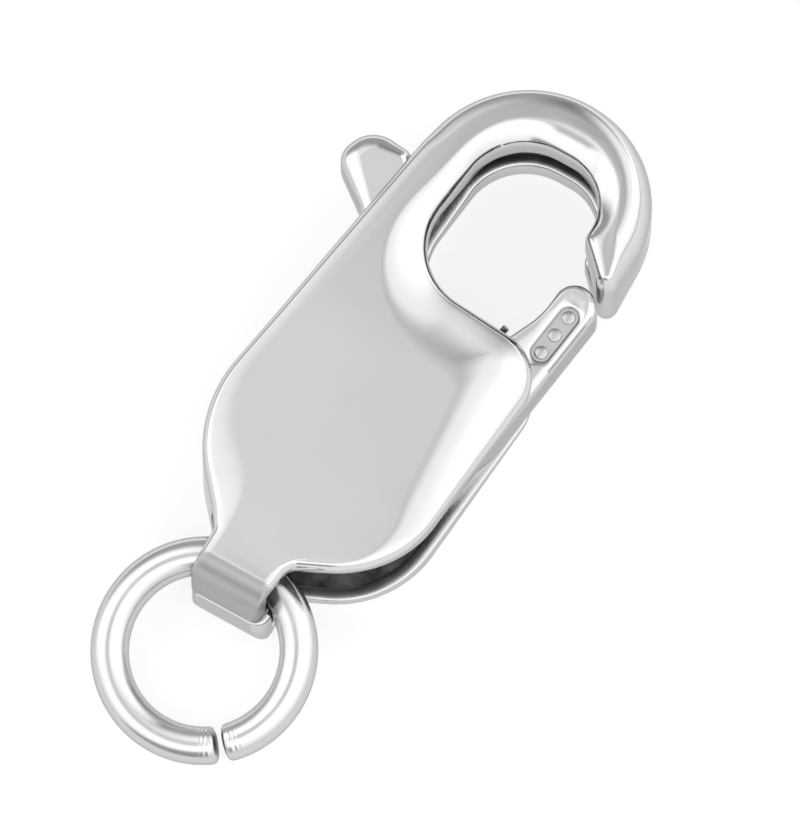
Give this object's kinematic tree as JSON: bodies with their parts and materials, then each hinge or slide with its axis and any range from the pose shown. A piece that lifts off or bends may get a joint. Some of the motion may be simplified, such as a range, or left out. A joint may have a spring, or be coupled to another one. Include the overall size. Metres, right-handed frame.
{
  "type": "lobster clasp",
  "caption": "Lobster clasp of polished folded sheet metal: a hollow claw, a sprung trigger lever whose gate shuts the hook, and an open jump ring in the tail loop.",
  "frame": {"origin": "on the pivot's axis, in the plane of the back plate that the clasp lies on", "axes": "+X across the clasp towards the gate, +Y along it towards the hook's crown, +Z out of the front plate"},
  "size_m": [0.0075, 0.0187, 0.0031],
  "materials": {
    "polished_metal": "polished silver",
    "spring_wire": "drawn spring wire",
    "ring_wire": "polished silver wire"
  },
  "bodies": {
    "claw": {"claw_shell": "polished_metal", "pivot_pin": "polished_metal", "jump_ring": "ring_wire"},
    "lever": {"trigger_lever": "polished_metal", "return_spring": "spring_wire"}
  },
  "joints": [
    {"name": "lever_turn", "type": "hinge", "parent": "claw", "child": "lever", "pos_m": [0, 0, 0.00155], "axis": [0, 0, 1], "range_deg": [0, 32], "stiffness_Nm_per_rad": 0.004, "springref_deg": -28.65}
  ]
}
